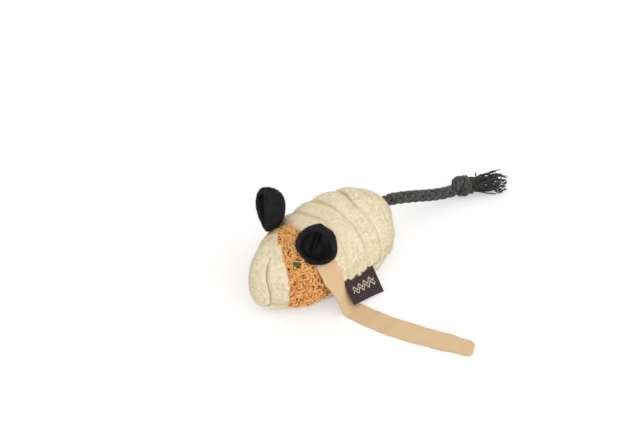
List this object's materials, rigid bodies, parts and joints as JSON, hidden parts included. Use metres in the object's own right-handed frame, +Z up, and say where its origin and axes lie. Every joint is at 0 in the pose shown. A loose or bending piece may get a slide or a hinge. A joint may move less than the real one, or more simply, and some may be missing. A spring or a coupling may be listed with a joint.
{
  "type": "catnip mouse",
  "caption": "Stuffed plush mouse for a cat, wrapped in puffy bands, with cupped ears, a braided rope tail with a knot and frayed end, a side label and a loose tape.",
  "frame": {"origin": "flat underside of the belly, on the ground below the middle of the body", "axes": "+Z up, -Y toward the nose, +X toward the toy's own left side, where the label and the loose tape are"},
  "size_m": [0.1627, 0.2242, 0.074],
  "materials": {
    "cream_plush": "short fuzzy pile",
    "apricot_plush": "long looped pile",
    "black_plush": "fuzzy pile",
    "charcoal_rope": "braided cord and loose yarn",
    "tan_tape": "flat knit, brushed",
    "brown_label": "woven satin",
    "green_thread": "satin stitch",
    "white_fibre": "loose polyester fibre",
    "muslin": "plain weave",
    "dried_catnip": "loose dried leaf"
  },
  "bodies": {
    "mouse": {"snout_wrap_front": "cream_plush", "snout_wrap_mid": "cream_plush", "snout_wrap_rear": "cream_plush", "face_patch": "apricot_plush", "back_wrap_1": "cream_plush", "back_wrap_2": "cream_plush", "back_wrap_3": "cream_plush", "back_wrap_4": "cream_plush", "back_wrap_5": "cream_plush", "base_panel": "cream_plush", "fibre_filling": "white_fibre", "catnip_pouch_top": "muslin", "catnip_pouch_bottom": "muslin", "catnip_charge": "dried_catnip", "eye_left": "green_thread", "eye_right": "green_thread", "tail_root": "charcoal_rope"},
    "ear_left": {"ear_left_lining": "black_plush", "ear_left_back": "black_plush"},
    "ear_right": {"ear_right_lining": "black_plush", "ear_right_back": "black_plush"},
    "tail": {"tail_rope": "charcoal_rope", "tail_knot": "charcoal_rope", "tail_tassel": "charcoal_rope"},
    "label": {"side_label": "brown_label"},
    "tape": {"loose_tape": "tan_tape"}
  },
  "joints": [
    {"name": "ear_left_fold", "type": "hinge", "parent": "mouse", "child": "ear_left", "pos_m": [0.02065, -0.0266, 0.0406], "axis": [0.9022, 0.383, -0.1985], "range_deg": [-20, 50], "stiffness_Nm_per_rad": 0.01},
    {"name": "ear_right_fold", "type": "hinge", "parent": "mouse", "child": "ear_right", "pos_m": [-0.02065, -0.0266, 0.0427], "axis": [0.9022, -0.383, 0.1985], "range_deg": [-20, 50], "stiffness_Nm_per_rad": 0.01},
    {"name": "tail_swing", "type": "hinge", "parent": "mouse", "child": "tail", "pos_m": [0, 0.064, 0.0278], "axis": [0, 0, 1], "range_deg": [-40, 40], "stiffness_Nm_per_rad": 0.01},
    {"name": "label_flap", "type": "hinge", "parent": "mouse", "child": "label", "pos_m": [0.0314, 0.0073, 0.017], "axis": [0, -1, 0], "range_deg": [-10, 80], "stiffness_Nm_per_rad": 0.004},
    {"name": "tape_lift", "type": "hinge", "parent": "mouse", "child": "tape", "pos_m": [0.02769, -0.01758, 0.03365], "axis": [0, -1, 0], "range_deg": [0, 60]}
  ]
}
